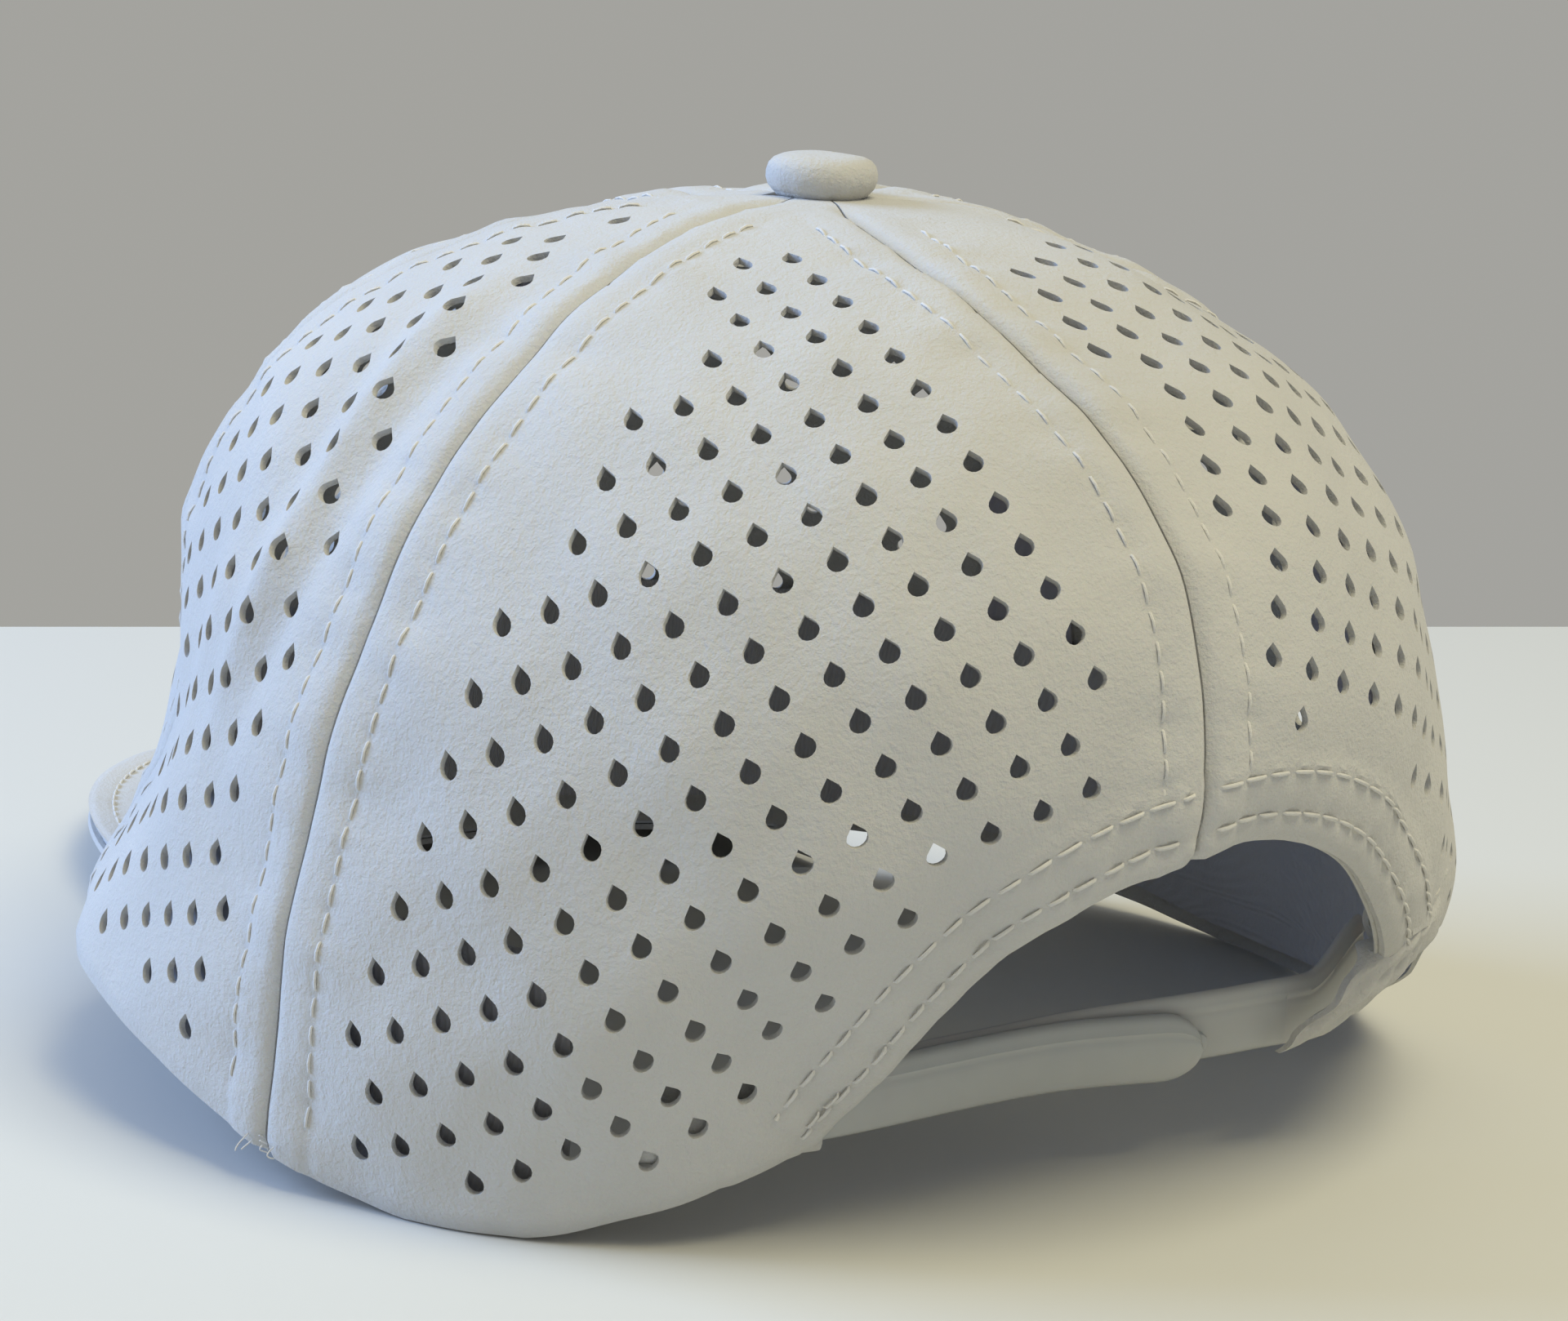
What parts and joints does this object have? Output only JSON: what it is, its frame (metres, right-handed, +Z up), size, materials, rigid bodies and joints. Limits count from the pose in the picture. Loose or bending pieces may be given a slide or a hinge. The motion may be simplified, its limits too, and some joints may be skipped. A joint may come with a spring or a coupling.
{
  "type": "baseball cap",
  "caption": "Perforated panelled snapback cap with a covered top button, a stiff visor, and a rear opening closed by a peg-and-hole strap.",
  "frame": {"origin": "on the table, below the middle of the whole cap's length and width", "axes": "+Z up from the table, -Y toward the visor's tip, +X toward the wearer's left"},
  "size_m": [0.1812, 0.2338, 0.1191],
  "materials": {
    "white_microfibre": "matte brushed",
    "white_lining": "matte woven",
    "visor_board_plastic": "matte",
    "white_strap_plastic": "satin",
    "button_metal": "stamped"
  },
  "bodies": {
    "crown": {"back_left_panel": "white_microfibre", "back_right_panel": "white_microfibre", "back_seam_tape": "white_lining", "button_cover": "white_microfibre", "button_shell": "button_metal", "button_washer": "button_metal", "front_left_panel": "white_microfibre", "front_right_panel": "white_microfibre", "front_seam_tape": "white_lining", "left_front_seam_tape": "white_lining", "left_rear_seam_tape": "white_lining", "left_strap_tab": "white_microfibre", "opening_facing": "white_microfibre", "right_front_seam_tape": "white_lining", "right_rear_seam_tape": "white_lining", "right_strap_tab": "white_microfibre", "side_left_panel": "white_microfibre", "side_right_panel": "white_microfibre", "sweatband": "white_lining", "visor_board": "visor_board_plastic", "visor_top_cover": "white_microfibre", "visor_under_cover": "white_microfibre"},
    "hole_strap": {"hole_strap": "white_strap_plastic"},
    "peg_strap": {"peg_strap": "white_strap_plastic"}
  },
  "joints": [
    {"name": "hole_strap_swing", "type": "hinge", "parent": "crown", "child": "hole_strap", "pos_m": [0.02363, 0.09167, 0.016], "axis": [0, 0, -1], "range_deg": [0, 75]},
    {"name": "peg_strap_swing", "type": "hinge", "parent": "crown", "child": "peg_strap", "pos_m": [-0.03466, 0.09258, 0.016], "axis": [0, 0, -1], "range_deg": [0, 60]}
  ]
}
